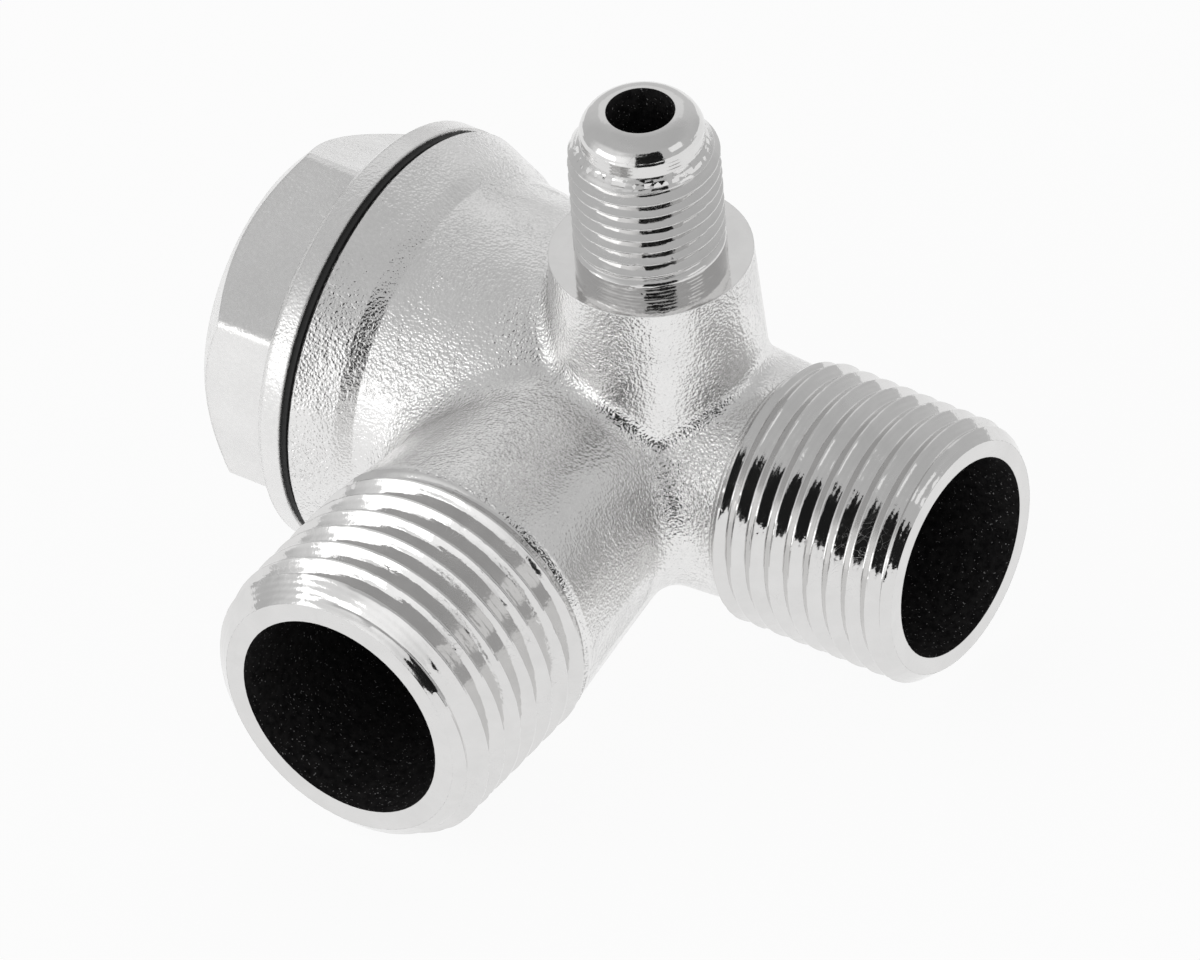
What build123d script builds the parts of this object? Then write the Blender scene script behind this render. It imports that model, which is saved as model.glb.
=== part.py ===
from build123d import *
from math import asin, degrees
import os

os.makedirs("parts", exist_ok=True)

# Air compressor non-return valve, in millimetres.
# X is the valve's own axis: the hexagon cap is at -X and the pump inlet at +X.
# The tank outlet points along -Y and the unloader nipple along +Z.
# The origin is where the outlet's axis crosses the valve's axis.

# Ends of the body, measured from the origin or from the part beside them
inlet_neck_clearance = 2.6
outlet_neck_clearance = 6.05
unloader_offset = 2.9
unloader_top = 28.1

# Cast chamber and neck
rim_step = 1.65
rim_width = 3.2
rim_draft = 1.0
rim_edge_round = 0.4
step_width = 1.1
chamber_wall = 1.8
chamber_draft = 0.45
dome_overlap = 0.75
neck_undercut = 0.3

# Inlet port, M18 x 1.5
inlet_thread_radius = 9.0
inlet_thread_length = 13.3
inlet_thread_depth = 0.92
inlet_face_radius = 8.05
inlet_face_chamfer = 1.1
inlet_bore_radius = 6.9

# Outlet port, G 1/2
outlet_thread_radius = 10.4775
outlet_thread_length = 12.9
outlet_thread_depth = 1.16
outlet_face_radius = 8.85
outlet_face_chamfer = 1.35
outlet_bore_radius = 7.5
outlet_boss_undercut = 0.2775
outlet_boss_inset = 0.8
outlet_blend = 2.2

# Unloader nipple, M10 x 1
spot_face_height = 16.3
spot_face_radius = 6.7
unloader_boss_root_radius = 7.6
unloader_blend = 1.4
unloader_thread_radius = 5.0
unloader_land_radius = 4.8
unloader_land_height = 1.3
unloader_lead = 0.2
unloader_thread_length = 7.2
nose_radius = 4.1
nose_straight = 0.9
nose_flare = 1.0
nose_roundness = 0.35
nose_bulge = 0.35
unloader_bore_radius = 2.28

# Valve chamber inside
cap_thread_engagement = 6.4
cap_thread_shoulder = 0.8
valve_bore_clearance = 1.1
seat_setback = 3.2
seat_lip_width = 1.0
seat_lip_height = 0.8
outlet_floor_gap = 1.7
bore_lead = 0.5

# Hexagon cap
gasket_thickness = 0.4
gasket_recess = 0.25
flange_thickness = 1.9
flange_edge_round = 0.45
hexagon_across_flats = 22.2
hexagon_height = 6.7
hexagon_corner_round = 0.9
hexagon_end_chamfer = 2.2
hexagon_chamfer_inset = 0.6
hexagon_chamfer_rise = 2.0
cap_turn = 30
cap_thread_clearance = 0.04
spring_pocket_radius = 8.1
spring_pocket_depth = 8.6
guide_hub_radius = 4.3
guide_hub_recess = 0.05
guide_clearance = 0.06
guide_hole_extra = 1.2

# Poppet
stem_radius = 2.5
stem_length = 11.0
poppet_cup_wall = 0.7
poppet_thickness = 3.4
poppet_lift = 3.5
lift_stop_gap = 0.2
seat_disc_overlap = 0.5
seat_disc_thickness = 2.0
seat_disc_proud = 0.7
disc_pip_radius = 2.0
disc_pip_depth = 0.9
edge_break = 0.3

# Spring
spring_wire_radius = 0.45
spring_coil_radius = 6.2
spring_turns = 4
chords_per_turn = 10
wire_sides = 8
spring_seat_gap = 0.05

# Radii that follow from the bores and threads, each with its own clearance or wall
seat_lip_radius = inlet_bore_radius + seat_lip_width
seat_disc_radius = seat_lip_radius + seat_disc_overlap
poppet_radius = seat_disc_radius + poppet_cup_wall
valve_bore_radius = poppet_radius + valve_bore_clearance
cap_thread_radius = valve_bore_radius + cap_thread_shoulder
chamber_radius = cap_thread_radius + chamber_wall
chamber_end_radius = chamber_radius - chamber_draft
rim_radius = chamber_radius + rim_step
flange_radius = rim_radius
plug_radius = cap_thread_radius - cap_thread_clearance
outlet_boss_radius = outlet_thread_radius - outlet_boss_undercut
neck_radius = inlet_thread_radius - neck_undercut
outlet_boss_root_radius = neck_radius - outlet_boss_inset

# Reaches of the two large ports, each clear of what stands beside its neck
inlet_thread_start_x = outlet_boss_root_radius + outlet_blend + inlet_neck_clearance
inlet_reach = inlet_thread_start_x + inlet_thread_length
outlet_reach = rim_radius + outlet_neck_clearance + outlet_thread_length

# Places along the axis, stacked from the seat through the open poppet to the cap
seat_x = -seat_setback
chamber_floor_x = seat_x + seat_lip_height
disc_back_x = seat_x - seat_disc_thickness
poppet_front_x = seat_x - seat_disc_proud
poppet_back_x = poppet_front_x - poppet_thickness
stem_end_x = poppet_back_x - stem_length
hub_end_x = poppet_back_x - poppet_lift - lift_stop_gap
plug_end_x = hub_end_x + guide_hub_recess
pocket_floor_x = plug_end_x - spring_pocket_depth
guide_hole_end_x = stem_end_x - poppet_lift - guide_hole_extra
cap_joint_x = plug_end_x - cap_thread_engagement
gasket_outer_x = cap_joint_x - gasket_thickness
hexagon_start_x = gasket_outer_x - flange_thickness
hexagon_end_x = hexagon_start_x - hexagon_height

# Places on the casting outside
rim_end_x = cap_joint_x + rim_width
chamber_start_x = rim_end_x + step_width
dome_x = dome_overlap - outlet_boss_root_radius
dome_edge_angle = degrees(asin(neck_radius / chamber_end_radius))
outlet_thread_start_y = outlet_thread_length - outlet_reach
outlet_floor_y = -(inlet_bore_radius + outlet_floor_gap)
unloader_thread_start_z = spot_face_height + unloader_land_height
unloader_thread_end_z = unloader_thread_start_z + unloader_thread_length
nose_start_z = unloader_thread_end_z + nose_flare + nose_straight
nose_middle_radius = (nose_radius + unloader_bore_radius) / 2 + nose_bulge
spring_start_x = pocket_floor_x + spring_wire_radius + spring_seat_gap
spring_end_x = poppet_back_x - spring_wire_radius - spring_seat_gap
spring_pitch = (spring_end_x - spring_start_x) / spring_turns
unloader_axis = Axis((unloader_offset, 0, 0), (0, 0, 1))

# Body: one nickel-plated casting with three threaded ports.
# The thread walls stay plain at their outer diameter.
with BuildPart() as body:
    # Rim, chamber, domed shoulder, neck and inlet port in one turned profile
    with BuildSketch(Plane.XY):
        with BuildLine():
            dome = CenterArc((dome_x, 0), chamber_end_radius, dome_edge_angle, 90 - dome_edge_angle)
            Polyline(
                dome @ 1,
                (chamber_start_x, chamber_radius),
                (rim_end_x, rim_radius - rim_draft),
                (cap_joint_x + rim_edge_round, rim_radius),
                (cap_joint_x, rim_radius - rim_edge_round),
                (cap_joint_x, 0),
                (inlet_reach, 0),
                (inlet_reach, inlet_face_radius),
                (inlet_reach - inlet_face_chamfer, inlet_thread_radius),
                (inlet_thread_start_x, inlet_thread_radius),
                (inlet_thread_start_x - inlet_thread_depth, inlet_thread_radius - inlet_thread_depth),
                dome @ 0,
            )
        make_face()
    revolve(axis=Axis.X)

    # Outlet boss and its port, square to the valve's axis
    with BuildSketch(Plane.XY):
        with BuildLine():
            Polyline(
                (0, 0),
                (outlet_boss_root_radius, 0),
                (outlet_boss_radius, outlet_thread_start_y + outlet_thread_depth),
                (outlet_thread_radius, outlet_thread_start_y),
                (outlet_thread_radius, outlet_face_chamfer - outlet_reach),
                (outlet_face_radius, -outlet_reach),
                (0, -outlet_reach),
                (0, 0),
            )
        make_face()
    revolve(axis=Axis.Y)
    fillet(body.edges(Select.NEW), outlet_blend)

    # Unloader boss below the spot face
    with BuildSketch(Plane.XZ):
        with BuildLine():
            Polyline(
                (unloader_offset, 0),
                (unloader_offset + unloader_boss_root_radius, 0),
                (unloader_offset + spot_face_radius, spot_face_height),
                (unloader_offset, spot_face_height),
                (unloader_offset, 0),
            )
        make_face()
    revolve(axis=unloader_axis)
    fillet(body.edges(Select.NEW), unloader_blend)

    # Turned nipple on the spot face, with its domed nose
    with BuildSketch(Plane.XZ):
        with BuildLine():
            Polyline(
                (unloader_offset, spot_face_height),
                (unloader_offset + unloader_land_radius, spot_face_height),
                (unloader_offset + unloader_land_radius, unloader_thread_start_z - unloader_lead),
                (unloader_offset + unloader_thread_radius, unloader_thread_start_z),
                (unloader_offset + unloader_thread_radius, unloader_thread_end_z),
                (unloader_offset + nose_radius, unloader_thread_end_z + nose_flare),
                (unloader_offset + nose_radius, nose_start_z),
            )
            ThreePointArc(
                (unloader_offset + nose_radius, nose_start_z),
                (
                    unloader_offset + nose_middle_radius,
                    unloader_top - (unloader_top - nose_start_z) * nose_roundness,
                ),
                (unloader_offset + unloader_bore_radius, unloader_top),
            )
            Polyline(
                (unloader_offset + unloader_bore_radius, unloader_top),
                (unloader_offset, unloader_top),
                (unloader_offset, spot_face_height),
            )
        make_face()
    revolve(axis=unloader_axis)

    # Valve chamber, seat lip and inlet bore, cut from the cap end to the inlet face
    with BuildSketch(Plane.XY):
        with BuildLine():
            Polyline(
                (cap_joint_x, 0),
                (cap_joint_x, cap_thread_radius + bore_lead),
                (cap_joint_x + bore_lead, cap_thread_radius),
                (plug_end_x + bore_lead, cap_thread_radius),
                (plug_end_x + bore_lead, valve_bore_radius),
                (chamber_floor_x, valve_bore_radius),
                (chamber_floor_x, seat_lip_radius),
                (seat_x, seat_lip_radius),
                (seat_x, inlet_bore_radius),
                (inlet_reach, inlet_bore_radius),
                (inlet_reach, 0),
                (cap_joint_x, 0),
            )
        make_face()
    revolve(axis=Axis.X, mode=Mode.SUBTRACT)

    # Outlet bore, stopped short of the inlet bore so that it opens into the chamber only
    with BuildSketch(Plane.XZ.offset(outlet_reach)):
        Circle(outlet_bore_radius)
    extrude(amount=outlet_floor_y + outlet_reach, dir=(0, 1, 0), mode=Mode.SUBTRACT)

    # Bleed passage from the nipple down to the inlet bore
    with BuildSketch(Plane.XY.offset(unloader_top)):
        with Locations((unloader_offset, 0)):
            Circle(unloader_bore_radius)
    extrude(amount=-unloader_top, mode=Mode.SUBTRACT)

# Hexagon cap: head, flange, threaded plug, spring pocket and stem guide in one turning
with BuildPart() as cap:
    with BuildSketch(Plane.YZ.offset(hexagon_start_x)):
        RegularPolygon(hexagon_across_flats / 2, 6, major_radius=False, rotation=cap_turn)
    extrude(amount=-hexagon_height)
    fillet(cap.edges().filter_by(Axis.X), hexagon_corner_round)

    # The chamfer that turns the six corners of the head down
    with BuildSketch(Plane.XY):
        with BuildLine():
            Polyline(
                (hexagon_end_x, hexagon_across_flats / 2 - hexagon_chamfer_inset),
                (hexagon_end_x + hexagon_end_chamfer, hexagon_across_flats / 2 + hexagon_chamfer_rise),
                (hexagon_end_x, hexagon_across_flats / 2 + hexagon_chamfer_rise),
                (hexagon_end_x, hexagon_across_flats / 2 - hexagon_chamfer_inset),
            )
        make_face()
    revolve(axis=Axis.X, mode=Mode.SUBTRACT)

    # Flange and plug
    with BuildSketch(Plane.XY):
        with BuildLine():
            Polyline(
                (hexagon_start_x, 0),
                (hexagon_start_x, flange_radius - flange_edge_round),
                (hexagon_start_x + flange_edge_round, flange_radius),
                (gasket_outer_x, flange_radius),
                (gasket_outer_x, plug_radius),
                (plug_end_x - bore_lead, plug_radius),
                (plug_end_x, plug_radius - bore_lead),
                (plug_end_x, 0),
                (hexagon_start_x, 0),
            )
        make_face()
    revolve(axis=Axis.X)

    # Ring-shaped spring pocket round the guide hub
    with BuildSketch(Plane.XY):
        with BuildLine():
            Polyline(
                (plug_end_x, 0),
                (plug_end_x, spring_pocket_radius),
                (pocket_floor_x, spring_pocket_radius),
                (pocket_floor_x, guide_hub_radius),
                (hub_end_x, guide_hub_radius),
                (hub_end_x, 0),
                (plug_end_x, 0),
            )
        make_face()
    revolve(axis=Axis.X, mode=Mode.SUBTRACT)

    # Blind hole that the poppet's stem runs in
    with BuildSketch(Plane.YZ.offset(hub_end_x)):
        Circle(stem_radius + guide_clearance)
    extrude(amount=guide_hole_end_x - hub_end_x, mode=Mode.SUBTRACT)

# Black sealing washer between the flange and the rim
with BuildPart() as cap_gasket:
    with BuildSketch(Plane.YZ.offset(gasket_outer_x)):
        Circle(flange_radius - gasket_recess)
        Circle(cap_thread_radius + bore_lead, mode=Mode.SUBTRACT)
    extrude(amount=gasket_thickness)

# Brass poppet: a stem, a spring face and a cup that holds the rubber disc
with BuildPart() as poppet:
    with BuildSketch(Plane.XY):
        with BuildLine():
            Polyline(
                (poppet_front_x, seat_disc_radius),
                (poppet_front_x, poppet_radius),
                (poppet_back_x + edge_break, poppet_radius),
                (poppet_back_x, poppet_radius - edge_break),
                (poppet_back_x, stem_radius),
                (stem_end_x + edge_break, stem_radius),
                (stem_end_x, stem_radius - edge_break),
                (stem_end_x, 0),
                (disc_back_x - disc_pip_depth, 0),
                (disc_back_x - disc_pip_depth, disc_pip_radius),
                (disc_back_x, disc_pip_radius),
                (disc_back_x, seat_disc_radius),
                (poppet_front_x, seat_disc_radius),
            )
        make_face()
    revolve(axis=Axis.X)

# Rubber seat disc, moulded with a pip that keys it into the poppet
with BuildPart() as seat_disc:
    with BuildSketch(Plane.XY):
        with BuildLine():
            Polyline(
                (disc_back_x - disc_pip_depth, 0),
                (disc_back_x - disc_pip_depth, disc_pip_radius),
                (disc_back_x, disc_pip_radius),
                (disc_back_x, seat_disc_radius),
                (seat_x - edge_break, seat_disc_radius),
                (seat_x, seat_disc_radius - edge_break),
                (seat_x, 0),
                (disc_back_x - disc_pip_depth, 0),
            )
        make_face()
    revolve(axis=Axis.X)

# Return spring, wound round the guide hub between the pocket floor and the poppet.
# The wire follows short chords of its helix, with eight sides round it.
with BuildPart() as spring:
    with BuildLine():
        coil = Helix(
            spring_pitch,
            spring_pitch * spring_turns,
            spring_coil_radius,
            center=(spring_start_x, 0, 0),
            direction=(1, 0, 0),
            mode=Mode.PRIVATE,
        )
        chords = spring_turns * chords_per_turn
        wire = Polyline([coil @ (step / chords) for step in range(chords + 1)])
    with BuildSketch(Plane(origin=wire @ 0, z_dir=wire % 0)):
        RegularPolygon(spring_wire_radius, wire_sides)
    sweep(transition=Transition.RIGHT)

body.part.label = "body"
cap.part.label = "cap"
cap_gasket.part.label = "cap_gasket"
poppet.part.label = "poppet"
seat_disc.part.label = "seat_disc"
spring.part.label = "spring"

export_step(body.part, "parts/body.step")
export_step(cap.part, "parts/cap.step")
export_step(cap_gasket.part, "parts/cap_gasket.step")
export_step(poppet.part, "parts/poppet.step")
export_step(seat_disc.part, "parts/seat_disc.step")
export_step(spring.part, "parts/spring.step")
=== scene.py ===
import math

import bmesh
import bpy
import numpy as np
from mathutils import Matrix, Vector
from mathutils.noise import noise as noise_at


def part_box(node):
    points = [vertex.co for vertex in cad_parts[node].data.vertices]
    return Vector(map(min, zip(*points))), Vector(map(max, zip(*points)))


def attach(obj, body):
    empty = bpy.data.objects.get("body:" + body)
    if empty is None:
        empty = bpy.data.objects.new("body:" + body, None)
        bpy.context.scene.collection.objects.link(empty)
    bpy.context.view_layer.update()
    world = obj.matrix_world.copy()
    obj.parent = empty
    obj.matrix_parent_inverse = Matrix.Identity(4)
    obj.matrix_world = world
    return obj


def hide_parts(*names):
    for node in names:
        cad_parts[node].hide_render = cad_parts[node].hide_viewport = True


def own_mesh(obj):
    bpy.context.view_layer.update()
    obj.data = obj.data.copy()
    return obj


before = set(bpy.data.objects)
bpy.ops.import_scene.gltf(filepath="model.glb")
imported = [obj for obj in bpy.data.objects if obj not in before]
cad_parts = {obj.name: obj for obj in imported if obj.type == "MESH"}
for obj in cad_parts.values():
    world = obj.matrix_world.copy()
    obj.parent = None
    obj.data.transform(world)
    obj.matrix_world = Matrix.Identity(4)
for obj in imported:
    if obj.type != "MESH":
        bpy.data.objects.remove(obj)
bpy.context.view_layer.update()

MM = 0.001
ORIGIN = (0.0, 0.0, 0.0)

# Sizes shared with the CAD, in millimetres
OUTLET_REACH = 33.4
OUTLET_RADIUS = 10.4775
INLET_REACH = 26.0
INLET_RADIUS = 9.0
UNLOADER_X = 2.9
UNLOADER_RADIUS = 5.0
SPOT_FACE_Z = 16.3


# Shader helpers

def new_material(name):
    mat = bpy.data.materials.new(name)
    mat.use_nodes = True
    tree = mat.node_tree
    tree.nodes.clear()
    out = tree.nodes.new("ShaderNodeOutputMaterial")
    bsdf = tree.nodes.new("ShaderNodeBsdfPrincipled")
    tree.links.new(bsdf.outputs[0], out.inputs[0])
    return mat, tree, bsdf


def feed(tree, socket, value):
    """Link another socket to this one, or set it to a number or a colour."""
    if isinstance(value, bpy.types.NodeSocket):
        tree.links.new(value, socket)
    else:
        socket.default_value = value


def node(tree, kind, inputs, **settings):
    """A node with its settings made first and then its inputs, given by name or by index."""
    made = tree.nodes.new(kind)
    for key, value in settings.items():
        setattr(made, key, value)
    for key, value in inputs.items():
        feed(tree, made.inputs[key], value)
    return made


def grey(value):
    return (value, value, value, 1.0)


def object_mm(tree):
    """Object coordinates in millimetres."""
    source = node(tree, "ShaderNodeTexCoord", {})
    to_mm = (1.0 / MM, 1.0 / MM, 1.0 / MM)
    return node(tree, "ShaderNodeMapping", {"Vector": source.outputs["Object"], "Scale": to_mm}).outputs[0]


def noise(tree, where, scale, detail, rough=0.5, distortion=0.0):
    made = node(tree, "ShaderNodeTexNoise", {
        "Vector": where, "Scale": scale, "Detail": detail, "Roughness": rough, "Distortion": distortion,
    })
    return made.outputs["Fac"]


def rings_along(tree, where, axis, inputs):
    """Turning rings: waves along an axis of the object."""
    made = node(tree, "ShaderNodeTexWave", {"Vector": where, **inputs},
                wave_type="BANDS", bands_direction=axis, wave_profile="SIN")
    return made.outputs["Fac"]


def ramp(tree, value, points):
    made = node(tree, "ShaderNodeValToRGB", {0: value})
    band = made.color_ramp
    while len(band.elements) < len(points):
        band.elements.new(0.5)
    for element, (at, colour) in zip(band.elements, points):
        element.position = at
        element.color = colour if len(colour) == 4 else (*colour, 1.0)
    return made.outputs[0]


def tint(base, share):
    return tuple(channel * share for channel in base)


def math_node(tree, kind, first, second):
    return node(tree, "ShaderNodeMath", {0: first, 1: second}, operation=kind).outputs[0]


def bump(tree, height, strength, distance_mm, below=None):
    inputs = {"Height": height, "Strength": strength, "Distance": distance_mm * MM}
    if below is not None:
        inputs["Normal"] = below
    return node(tree, "ShaderNodeBump", inputs).outputs[0]


def soft_edges(tree, radius_mm):
    """Shading normal with the edges rounded over by a small radius."""
    return node(tree, "ShaderNodeBevel", {"Radius": radius_mm * MM}, samples=4).outputs[0]


def scratches(tree, where, turn, stretch, scale):
    """Long thin scratches: the level lines of a noise drawn out in one direction."""
    drawn_out = node(tree, "ShaderNodeMapping", {"Vector": where, "Rotation": turn, "Scale": stretch})
    field = noise(tree, drawn_out.outputs[0], scale, detail=0.0, distortion=0.15)
    return ramp(tree, field, [(0.484, grey(0)), (0.5, grey(1)), (0.516, grey(0))])


# Materials

def cast_nickel(name, grain, low, high, edge):
    """Plated casting: fine blasted grain over a gently uneven skin, patchy from smooth to grainy.

    grain scales the relief, low and high are the roughness between its patches, and edge is the
    radius of the rounded edges in millimetres.
    """
    mat, tree, bsdf = new_material(name)
    base = (0.87, 0.865, 0.86)
    at = object_mm(tree)
    fine = noise(tree, at, scale=7.5, detail=1.0)
    coarse = noise(tree, at, scale=3.9, detail=1.0)
    broad = noise(tree, at, scale=0.30, detail=2.0)
    patch = noise(tree, at, scale=0.17, detail=2.0)
    pits = node(tree, "ShaderNodeTexVoronoi", {"Vector": at, "Scale": 5.0, "Smoothness": 0.5},
                feature="SMOOTH_F1")
    half_coarse = math_node(tree, "MULTIPLY", coarse, 0.5)
    half_broad = math_node(tree, "MULTIPLY", broad, 0.5)
    tone = math_node(tree, "ADD", half_coarse, half_broad)
    feed(tree, bsdf.inputs["Base Color"], ramp(tree, tone, [(0.3, tint(base, 0.90)), (0.7, base)]))
    feed(tree, bsdf.inputs["Roughness"], ramp(tree, coarse, [(0.3, grey(low)), (0.7, grey(high))]))
    depth = ramp(tree, patch, [(0.36, grey(0.35 * grain)), (0.62, grey(0.95 * grain))])
    relief = bump(tree, broad, 0.4 * grain, distance_mm=0.4, below=soft_edges(tree, edge))
    relief = bump(tree, pits.outputs["Distance"], depth, distance_mm=0.07, below=relief)
    relief = bump(tree, coarse, depth, distance_mm=0.075, below=relief)
    relief = bump(tree, fine, depth, distance_mm=0.055, below=relief)
    feed(tree, bsdf.inputs["Normal"], relief)
    bsdf.inputs["Metallic"].default_value = 1.0
    return mat


def turned_nickel(name, axis):
    """Machined and plated: mirror-like, with faint turning rings, duller scratches and fine specks."""
    mat, tree, bsdf = new_material(name)
    base = (0.745, 0.74, 0.735)
    at = object_mm(tree)
    rings = rings_along(tree, at, axis, {
        "Scale": 1.1, "Distortion": 1.6, "Detail": 3.0, "Detail Scale": 0.6,
    })
    blotch = noise(tree, at, scale=0.55, detail=3.0, rough=0.55, distortion=0.4)
    speck = noise(tree, at, scale=3.6, detail=2.0)
    worn = ramp(tree, noise(tree, at, scale=0.28, detail=1.0), [(0.50, grey(0)), (0.62, grey(1))])
    one_way = scratches(tree, at, turn=(0.4, 0.9, 0.3), stretch=(0.16, 1.5, 1.5), scale=1.3)
    other_way = scratches(tree, at, turn=(1.3, 0.2, 1.1), stretch=(1.4, 0.14, 1.4), scale=1.5)
    lines = math_node(tree, "MULTIPLY", math_node(tree, "MAXIMUM", one_way, other_way), worn)
    rough = ramp(tree, blotch, [(0.35, grey(0.05)), (0.7, grey(0.12))])
    rough = math_node(tree, "ADD", rough, math_node(tree, "MULTIPLY", lines, 0.25))
    feed(tree, bsdf.inputs["Roughness"], rough)
    feed(tree, bsdf.inputs["Base Color"], ramp(tree, blotch, [(0.3, tint(base, 0.94)), (0.7, base)]))
    relief = bump(tree, blotch, 0.10, distance_mm=0.25, below=soft_edges(tree, 0.07))
    relief = bump(tree, rings, 0.35, distance_mm=0.012, below=relief)
    relief = bump(tree, speck, 0.22, distance_mm=0.02, below=relief)
    feed(tree, bsdf.inputs["Normal"], relief)
    bsdf.inputs["Metallic"].default_value = 1.0
    return mat


def bore_painted_shade():
    """Inside of the ports: drilled metal painted near black as the shade deep in the bores, with a few
    brighter specks.
    """
    mat, tree, bsdf = new_material("bore_painted_shade")
    at = object_mm(tree)
    speck = noise(tree, at, scale=2.2, detail=3.0, rough=0.6)
    # A few brighter specks over the painted shade
    bright_specks = ramp(tree, noise(tree, at, scale=7.5, detail=0.0), [(0.765, grey(0)), (0.79, grey(0.5))])
    # Near black: painted shade of the deep bores, far darker than the drilled metal itself
    painted_bore_shade = ramp(tree, speck, [(0.35, (0.022, 0.021, 0.022)), (0.75, (0.055, 0.053, 0.053))])
    colour = node(tree, "ShaderNodeMix", {"Factor": 1.0, "A": painted_bore_shade, "B": bright_specks},
                  data_type="RGBA", blend_type="ADD")
    feed(tree, bsdf.inputs["Base Color"], colour.outputs["Result"])
    feed(tree, bsdf.inputs["Roughness"], ramp(tree, speck, [(0.3, grey(0.5)), (0.7, grey(0.75))]))
    feed(tree, bsdf.inputs["Normal"], bump(tree, speck, 0.3, distance_mm=0.05))
    bsdf.inputs["Metallic"].default_value = 0.6
    bsdf.inputs["Specular IOR Level"].default_value = 0.2
    return mat


def rubber(name, base):
    """Moulded black rubber with a fine speckle."""
    mat, tree, bsdf = new_material(name)
    speck = noise(tree, object_mm(tree), scale=2.5, detail=3.0, rough=0.6)
    colour = ramp(tree, speck, [(0.3, tint(base, 0.7)), (0.7, tint(base, 1.5))])
    feed(tree, bsdf.inputs["Base Color"], colour)
    feed(tree, bsdf.inputs["Roughness"], ramp(tree, speck, [(0.3, grey(0.55)), (0.7, grey(0.75))]))
    feed(tree, bsdf.inputs["Normal"], bump(tree, speck, 0.25, distance_mm=0.03))
    return mat


def plain_metal(name, dark, light, low, high, ring):
    """Turned or drawn metal of the parts inside, with its rings and a little tarnish."""
    mat, tree, bsdf = new_material(name)
    at = object_mm(tree)
    rings = rings_along(tree, at, "X", {"Scale": ring, "Distortion": 0.8})
    blotch = noise(tree, at, scale=0.8, detail=3.0)
    feed(tree, bsdf.inputs["Base Color"], ramp(tree, blotch, [(0.3, dark), (0.7, light)]))
    feed(tree, bsdf.inputs["Roughness"], ramp(tree, blotch, [(0.3, grey(low)), (0.7, grey(high))]))
    relief = bump(tree, rings, 0.3, distance_mm=0.012, below=soft_edges(tree, 0.1))
    feed(tree, bsdf.inputs["Normal"], relief)
    bsdf.inputs["Metallic"].default_value = 1.0
    return mat


# The casting's materials, in the order of its material slots
SKIN, TURNED_X, TURNED_Y, TURNED_Z, DRILLED_PAINTED_SHADE = range(5)
CASTING_MATERIALS = (
    cast_nickel("cast_nickel", grain=1.0, low=0.12, high=0.24, edge=0.18),
    turned_nickel("turned_nickel_x", "X"),
    turned_nickel("turned_nickel_y", "Y"),
    turned_nickel("turned_nickel_z", "Z"),
    bore_painted_shade(),
)


# Mesh helpers

def unit(vector):
    return vector / np.linalg.norm(vector)


def clean(mesh):
    """Merge what coincides, drop what is left over and turn all faces outwards."""
    merge = 1e-6
    work = bmesh.new()
    work.from_mesh(mesh)
    bmesh.ops.remove_doubles(work, verts=work.verts, dist=merge)
    bmesh.ops.dissolve_degenerate(work, edges=work.edges, dist=merge)
    loose = [vert for vert in work.verts if not vert.link_faces]
    bmesh.ops.delete(work, geom=loose, context="VERTS")
    bmesh.ops.recalc_face_normals(work, faces=work.faces)
    work.to_mesh(mesh)
    work.free()
    mesh.update()


def new_piece(name, verts, faces, mat, sharp):
    """A smooth-shaded piece on the valve's body, with edges sharp above an angle in degrees."""
    mesh = bpy.data.meshes.new(name)
    mesh.from_pydata([tuple(vert) for vert in verts], [], faces)
    mesh.materials.append(mat)
    mesh.validate()
    mesh.update()
    mesh.polygons.foreach_set("use_smooth", [True] * len(mesh.polygons))
    mesh.set_sharp_from_angle(angle=math.radians(sharp))
    clean(mesh)
    piece = bpy.data.objects.new(name, mesh)
    bpy.context.scene.collection.objects.link(piece)
    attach(piece, "valve_body")
    return piece


# Threads

# Unit vectors of each port's axis and of the direction from which its angles count
PORT_AXES = {
    "+x": ((1.0, 0.0, 0.0), (0.0, 1.0, 0.0)),
    "-y": ((0.0, -1.0, 0.0), (0.0, 0.0, 1.0)),
    "+z": ((0.0, 0.0, 1.0), (1.0, 0.0, 0.0)),
}

# One pitch of a thread: (place along the pitch, depth as a part of the whole)
THREAD_FORM = (
    (0.00, 0.06), (0.02, 0.0), (0.10, 0.0), (0.12, 0.06), (0.22, 0.30), (0.31, 0.50), (0.41, 0.72),
    (0.50, 0.93), (0.53, 1.0), (0.59, 1.0), (0.62, 0.93), (0.71, 0.72), (0.81, 0.50), (0.90, 0.29),
)
CREST_DEPTH = 0.1
END_MARGIN = 0.1
FADE_CURVE = 0.7
NICK_SHIFT = Vector((7, 3, 5))
NICK_FROM = 0.30
NICK_DEPTH = 5.0

# Two places or radii closer than this, in millimetres, are the same
TINY = 1e-9


def dent_at(place, on_crest):
    """How far the skin of a thread stands in or out at a place, with small nicks on the crests."""
    dent = noise_at(place * 0.9) * 0.6 + noise_at(place * 3.1) * 0.5
    if on_crest:
        dent -= max(0.0, noise_at(place * 1.7 + NICK_SHIFT) - NICK_FROM) * NICK_DEPTH
    return dent


def thread_faces(s, steps, start, end):
    """The faces between rows along the axis, for each angle and the next.

    s holds the place along the axis of every point. The last angle joins the first one a pitch on.
    """
    around, row = s.shape
    faces = []
    for i in range(around):
        j = (i + 1) % around
        shift = steps if j == 0 else 0
        for k in range(row - 1 - shift):
            m = k + shift
            corner = (s[i, k], s[i, k + 1], s[j, m + 1], s[j, m])
            if max(corner) <= start + TINY or min(corner) >= end - TINY:
                continue
            faces.append((i * row + k, j * row + m, j * row + m + 1, i * row + k + 1))
    return faces


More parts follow.
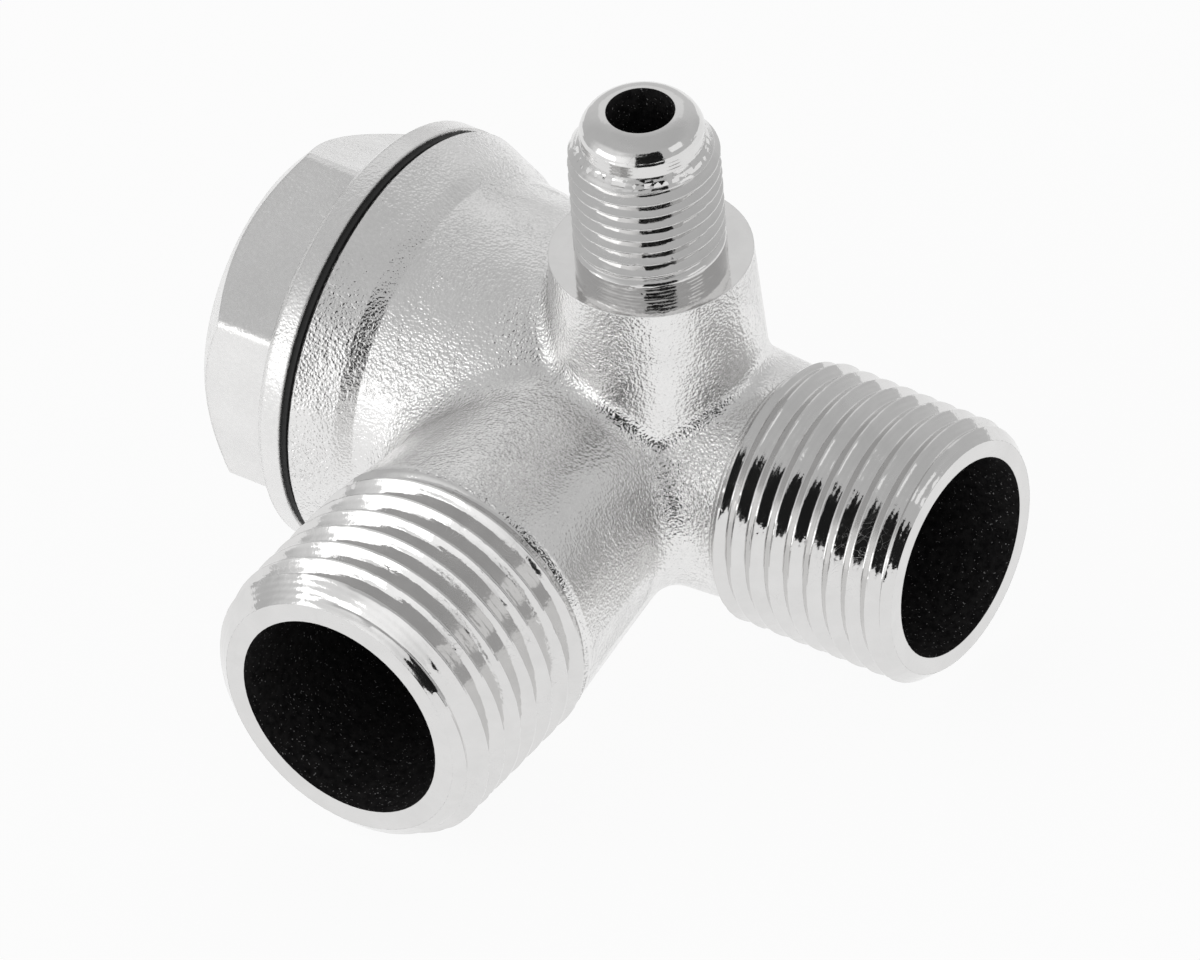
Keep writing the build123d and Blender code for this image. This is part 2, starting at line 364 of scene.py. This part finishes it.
def thread_sleeve(name, axis, mat, major, depth, pitch, start, start_radius, rise, end, end_radius, chamfer,
                  centre=ORIGIN, foot=0.0, fade_over=0.0, around=240, wear=0.03):
    """A right-handed helical thread between two places on an axis, in millimetres.

    It rises from the neck at start, its groove fades in over some pitches from the foot, it ends in
    the port's chamfer, and its crests carry small dents.
    """
    along, u = (np.array(vector) for vector in PORT_AXES[axis])
    v = np.cross(along, u)
    centre = np.array(centre)
    steps = len(THREAD_FORM)
    # The helix starts two pitches early and runs a pitch past the end, and is cut to length by the clip
    turns = int(math.ceil((end - start) / pitch)) + 3
    rows = range(turns * steps + 1)
    angle = np.linspace(0, 2 * np.pi, around, endpoint=False)
    place = np.array([k // steps + THREAD_FORM[k % steps][0] for k in rows])
    groove = np.array([THREAD_FORM[k % steps][1] for k in rows])
    s = start - 2 * pitch + place[None, :] * pitch + (angle[:, None] / (2 * np.pi)) * pitch
    s = np.clip(s, start, end)
    fade = np.clip((s - start - foot) / (pitch * fade_over), 0, 1) ** FADE_CURVE if fade_over else 1.0
    r = major - depth * groove[None, :] * fade
    r = np.minimum(r, start_radius + (s - start) * rise)
    r = np.minimum(r, major - (major - end_radius) * np.clip((s - (end - chamfer)) / chamfer, 0, 1))
    outwards = np.cos(angle)[:, None, None] * u + np.sin(angle)[:, None, None] * v
    points = centre + along * s[..., None] + r[..., None] * outwards
    dent = np.zeros_like(r)
    for i in range(around):
        for k in rows:
            if start + END_MARGIN < s[i, k] < end - END_MARGIN:
                dent[i, k] = dent_at(Vector(points[i, k]), groove[k] < CREST_DEPTH)
    r = r + np.minimum(dent, 0.0) * wear
    points = (centre + along * s[..., None] + r[..., None] * outwards) * MM
    faces = thread_faces(s, steps, start, end)
    return new_piece(name, points.reshape(-1, 3), faces, mat, sharp=26)


# Casting

# How far the plain thread walls are drawn in, deeper than the grooves that lie over them
OUTLET_DRAWN_IN = 1.45
INLET_DRAWN_IN = 1.15
UNLOADER_DRAWN_IN = 0.92

# Where the drawn-in walls start on their axes, and where the unloader's wall ends
OUTLET_WALL_START = 20.45
INLET_WALL_START = 12.65
UNLOADER_WALL_START = SPOT_FACE_Z + 0.1
UNLOADER_WALL_END = 25.0

# Limits between drilled, turned and cast surfaces: radii first, then places along the axes
OUTLET_BORE_LIMIT = 7.6
INLET_BORE_LIMIT = 7.2
UNLOADER_BORE_LIMIT = 2.35
SPOT_FACE_LIMIT = 6.8
OUTLET_BORE_FROM = 8.0
INLET_BORE_FROM = -4.5
UNLOADER_BORE_FROM = 5.0
OUTLET_TURNED_FROM = 20.4
INLET_TURNED_FROM = 12.6
RIM_TURNED_FROM = -17.3
SPOT_FACE_FROM = SPOT_FACE_Z - 0.02


def draw_in(points, axis, sign, start, end, major, root, centre=ORIGIN):
    """Move the plain wall of a thread to a smaller radius, between two places on its axis."""
    slack = 0.05
    offset = points - np.array(centre)
    s = offset[:, axis] * sign
    across = [k for k in range(3) if k != axis]
    r = np.hypot(offset[:, across[0]], offset[:, across[1]])
    picked = (s > start - slack) & (s < end - slack) & (r > root) & (r < major + slack)
    factor = np.where(picked, root / np.maximum(r, TINY), 1.0)
    for k in across:
        points[:, k] = centre[k] + offset[:, k] * factor


def surface_at(centre, normal):
    """The material slot of a face of the casting, from its middle in millimetres and its normal."""
    x, y, z = centre
    from_x_axis = math.hypot(y, z)
    from_y_axis = math.hypot(x, z)
    from_nipple = math.hypot(x - UNLOADER_X, y)
    steep, slack = 0.5, 0.01
    # Faces deep in the bores get the slot painted near black as shade
    if from_y_axis < OUTLET_BORE_LIMIT and OUTLET_BORE_FROM < -y < OUTLET_REACH - slack:
        return DRILLED_PAINTED_SHADE
    if from_x_axis < INLET_BORE_LIMIT and INLET_BORE_FROM < x < INLET_REACH - slack:
        if abs(normal[0]) < steep:
            return DRILLED_PAINTED_SHADE
    if from_nipple < UNLOADER_BORE_LIMIT and z > UNLOADER_BORE_FROM and abs(normal[2]) < steep:
        return DRILLED_PAINTED_SHADE
    if -y > OUTLET_TURNED_FROM:
        return TURNED_Y
    if x > INLET_TURNED_FROM:
        return TURNED_X
    if z > SPOT_FACE_FROM and from_nipple < SPOT_FACE_LIMIT:
        return TURNED_Z
    if x < RIM_TURNED_FROM:
        return TURNED_X
    return SKIN


def dressed_casting():
    """The casting as the CAD has it, with its plain thread walls drawn in under the real threads."""
    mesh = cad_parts["body"].data.copy()
    mesh.name = "casting"
    points = np.empty(len(mesh.vertices) * 3)
    mesh.vertices.foreach_get("co", points)
    points = points.reshape(-1, 3) / MM
    draw_in(points, 1, -1, OUTLET_WALL_START, OUTLET_REACH, OUTLET_RADIUS, OUTLET_RADIUS - OUTLET_DRAWN_IN)
    draw_in(points, 0, 1, INLET_WALL_START, INLET_REACH, INLET_RADIUS, INLET_RADIUS - INLET_DRAWN_IN)
    draw_in(points, 2, 1, UNLOADER_WALL_START, UNLOADER_WALL_END, UNLOADER_RADIUS,
            UNLOADER_RADIUS - UNLOADER_DRAWN_IN, centre=(UNLOADER_X, 0, 0))
    mesh.vertices.foreach_set("co", (points * MM).ravel())
    mesh.materials.clear()
    for mat in CASTING_MATERIALS:
        mesh.materials.append(mat)
    kinds = [surface_at(np.array(face.center) / MM, face.normal) for face in mesh.polygons]
    mesh.polygons.foreach_set("material_index", kinds)
    piece = bpy.data.objects.new("casting", mesh)
    bpy.context.scene.collection.objects.link(piece)
    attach(piece, "valve_body")
    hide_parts("body")


dressed_casting()
thread_sleeve("outlet_thread", "-y", CASTING_MATERIALS[TURNED_Y],
              major=OUTLET_RADIUS, depth=1.162, pitch=1.814, start=19.3, start_radius=10.15, rise=0.28,
              end=OUTLET_REACH, end_radius=8.85, chamfer=1.35, fade_over=1.4)
thread_sleeve("inlet_thread", "+x", CASTING_MATERIALS[TURNED_X],
              major=INLET_RADIUS, depth=0.50, pitch=1.5, start=11.78, start_radius=8.06, rise=1.0,
              end=INLET_REACH, end_radius=8.05, chamfer=1.1)
thread_sleeve("unloader_thread", "+z", CASTING_MATERIALS[TURNED_Z], centre=(UNLOADER_X, 0, 0),
              major=UNLOADER_RADIUS, depth=0.56, pitch=1.0, start=SPOT_FACE_Z, start_radius=UNLOADER_RADIUS,
              rise=0.0, end=25.8, end_radius=4.1, chamfer=1.0, foot=1.1, fade_over=0.7, around=144,
              wear=0.05)


# Cap, washer, poppet and disc

def dress(node_name, mat):
    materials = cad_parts[node_name].data.materials
    materials.clear()
    materials.append(mat)


dress("cap", cast_nickel("cap_nickel", grain=0.45, low=0.20, high=0.32, edge=0.3))
dress("cap_gasket", rubber("gasket_black", (0.012, 0.012, 0.012)))
dress("poppet", plain_metal("poppet_brass", dark=(0.60, 0.43, 0.17), light=(0.76, 0.58, 0.28),
                            low=0.18, high=0.32, ring=1.2))
dress("seat_disc", rubber("seat_rubber", (0.02, 0.019, 0.018)))


# Spring

def return_spring():
    """Round wire wound smoothly, with its end turns closed, in place of the chord model of the CAD."""
    low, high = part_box("spring")
    wire_radius, coil_radius, turns = 0.45, 6.2, 4
    closed_turn, closed_rise = 0.8, 0.09
    first = low[0] / MM + wire_radius
    last = high[0] / MM - wire_radius
    rings, sides = 48 * turns, 14
    axial = np.array([1.0, 0.0, 0.0])
    verts = []
    for k in range(rings + 1):
        turn = k / rings * turns
        rise = np.interp(turn, (0.0, closed_turn, turns - closed_turn, turns),
                         (0.0, closed_rise, 1 - closed_rise, 1.0))
        radial = np.array([0.0, math.cos(2 * math.pi * turn), math.sin(2 * math.pi * turn)])
        middle = np.array([first + (last - first) * rise, 0, 0]) + coil_radius * radial
        for m in range(sides):
            angle = 2 * math.pi * m / sides
            verts.append((middle + wire_radius * (math.cos(angle) * radial + math.sin(angle) * axial)) * MM)
    faces = []
    for k in range(rings):
        for m in range(sides):
            o = (m + 1) % sides
            faces.append((k * sides + m, k * sides + o, (k + 1) * sides + o, (k + 1) * sides + m))
    faces.append(tuple(range(sides - 1, -1, -1)))
    faces.append(tuple(rings * sides + m for m in range(sides)))
    steel = plain_metal("spring_steel", dark=(0.50, 0.50, 0.49), light=(0.66, 0.66, 0.65),
                        low=0.2, high=0.35, ring=0.6)
    piece = new_piece("return_spring", verts, faces, steel, sharp=35)
    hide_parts("spring")
    return piece


spring = return_spring()
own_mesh(spring)


# Camera

PHOTO_WIDTH = 1200
SENSOR_WIDTH = 36.0
AZIMUTH, ELEVATION, ROLL = math.radians(37.07), math.radians(40.42), math.radians(-4.48)
DISTANCE = 3000.0
PIXELS_PER_MM = 15.469
TARGET = np.array([8.271, -14.51, 9.725])


def photo_camera():
    """A long lens from the side of the two large ports, a little turned about its own axis."""
    back = np.array([math.sin(AZIMUTH) * math.cos(ELEVATION), -math.cos(AZIMUTH) * math.cos(ELEVATION),
                     math.sin(ELEVATION)])
    right = unit(np.cross(-back, [0, 0, 1.0]))
    up = np.cross(right, -back)
    right, up = math.cos(ROLL) * right + math.sin(ROLL) * up, -math.sin(ROLL) * right + math.cos(ROLL) * up
    place = (TARGET + back * DISTANCE) * MM
    camera = bpy.data.objects.new("camera", bpy.data.cameras.new("camera"))
    bpy.context.scene.collection.objects.link(camera)
    rows = [[right[k], up[k], back[k], place[k]] for k in range(3)]
    camera.matrix_world = Matrix([*rows, [0, 0, 0, 1]])
    camera.data.sensor_width = SENSOR_WIDTH
    camera.data.lens = PIXELS_PER_MM * DISTANCE / PHOTO_WIDTH * SENSOR_WIDTH
    camera.data.clip_start = 0.01
    camera.data.clip_end = 100.0
    return camera


bpy.context.scene.camera = photo_camera()
bpy.context.scene.view_settings.view_transform = "Standard"


# Floor and cards

def sheet(name, corners, mat):
    """A flat four-cornered sheet of the studio, with its corners in millimetres."""
    mesh = bpy.data.meshes.new(name)
    mesh.from_pydata([tuple(x * MM for x in corner) for corner in corners], [], [(0, 1, 2, 3)])
    mesh.materials.append(mat)
    made = bpy.data.objects.new(name, mesh)
    bpy.context.scene.collection.objects.link(made)
    return made


def matt(name, value):
    mat, tree, bsdf = new_material(name)
    bsdf.inputs["Base Color"].default_value = grey(value)
    bsdf.inputs["Roughness"].default_value = 0.9
    bsdf.inputs["Specular IOR Level"].default_value = 0.0
    return mat, tree, bsdf


def floor_white():
    """A white sweep: white to the camera and to mirrors, and it still takes the object's shadow."""
    mat, tree, bsdf = matt("floor_white", 0.93)
    glow = node(tree, "ShaderNodeEmission", {"Strength": 1.0})
    path = node(tree, "ShaderNodeLightPath", {})
    seen = math_node(tree, "MAXIMUM", path.outputs["Is Camera Ray"], path.outputs["Is Glossy Ray"])
    seen = math_node(tree, "MAXIMUM", seen, path.outputs["Is Transmission Ray"])
    share = math_node(tree, "MULTIPLY", seen, 0.93)
    mix = node(tree, "ShaderNodeMixShader", {0: share, 1: bsdf.outputs[0], 2: glow.outputs[0]})
    out = next(made for made in tree.nodes if made.type == "OUTPUT_MATERIAL")
    tree.links.new(mix.outputs[0], out.inputs[0])
    return mat


def resting_floor():
    """The floor under the flange's edge and the two large ports, on which the valve rests."""
    gap, half = 0.15, 900.0
    flange = np.array([-18.7, 0.0, -14.45])
    outlet = np.array([0.0, -32.0, -OUTLET_RADIUS])
    inlet = np.array([24.8, 0.0, -INLET_RADIUS])
    normal = unit(np.cross(outlet - flange, inlet - flange))
    if normal[2] < 0:
        normal = -normal
    middle = flange - normal * gap
    side = unit(np.cross(normal, [0, 1.0, 0]))
    ahead = np.cross(normal, side)
    signs = ((-1, -1), (1, -1), (1, 1), (-1, 1))
    sheet("floor", [middle + a * side * half + b * ahead * half for a, b in signs], floor_white())


resting_floor()

# A black card in front of the valve, seen only as a reflection in the plated metal
card_black = matt("front_flag_black", 0.02)[0]
card_corners = [(125, -320, 16), (300, -110, 16), (300, -110, 300), (125, -320, 300)]
card = sheet("front_flag", card_corners, card_black)
card.visible_camera = False
card.visible_shadow = False
card.visible_diffuse = False


# Light

def lobe(tree, towards, direction, fades_from, full_within, amount):
    """Part of the studio in one direction, brighter or darker than the rest, by angles in degrees."""
    dot = node(tree, "ShaderNodeVectorMath", {0: towards, 1: tuple(unit(np.array(direction)))},
               operation="DOT_PRODUCT")
    band = node(tree, "ShaderNodeMapRange", {
        "Value": dot.outputs["Value"],
        "From Min": math.cos(math.radians(fades_from)),
        "From Max": math.cos(math.radians(full_within)),
        "To Min": 0.0,
        "To Max": amount,
    }, interpolation_type="SMOOTHSTEP")
    return band.outputs[0]


def studio_world():
    """An even white studio with a few brighter and darker parts."""
    world = bpy.data.worlds.new("studio")
    world.use_nodes = True
    tree = world.node_tree
    tree.nodes.clear()
    towards = node(tree, "ShaderNodeTexCoord", {}).outputs["Generated"]
    level = 0.73
    for part in (
        lobe(tree, towards, (-0.42, -0.90, 0.10), fades_from=45, full_within=18, amount=0.42),
        lobe(tree, towards, (0.08, -0.96, 0.26), fades_from=30, full_within=12, amount=0.34),
        lobe(tree, towards, (-0.50, 0.80, 0.20), fades_from=55, full_within=20, amount=0.12),
        lobe(tree, towards, (0.20, 0.20, 0.95), fades_from=50, full_within=20, amount=-0.06),
    ):
        level = math_node(tree, "ADD", level, part)
    level = math_node(tree, "MAXIMUM", level, 0.05)
    shade = node(tree, "ShaderNodeBackground", {"Strength": level})
    node(tree, "ShaderNodeOutputWorld", {0: shade.outputs[0]})
    return world


def softbox(name, at, size, radiance):
    """A rectangular lamp turned to the valve, of a given radiance, with its size in millimetres."""
    aim = Vector((4, -10, 0))
    lamp = bpy.data.lights.new(name, "AREA")
    lamp.shape = "RECTANGLE"
    lamp.size, lamp.size_y = size[0] * MM, size[1] * MM
    lamp.energy = radiance * math.pi * lamp.size * lamp.size_y
    holder = bpy.data.objects.new(name, lamp)
    bpy.context.scene.collection.objects.link(holder)
    holder.location = Vector(at) * MM
    look = aim * MM - holder.location
    holder.rotation_euler = look.to_track_quat("-Z", "Y").to_euler()


bpy.context.scene.world = studio_world()
softbox("front_left_light", at=(-190, -330, 90), size=(260, 130), radiance=0.95)
softbox("back_left_light", at=(-190, 280, 250), size=(300, 180), radiance=0.15)
softbox("right_light", at=(330, 60, 190), size=(160, 130), radiance=0.45)
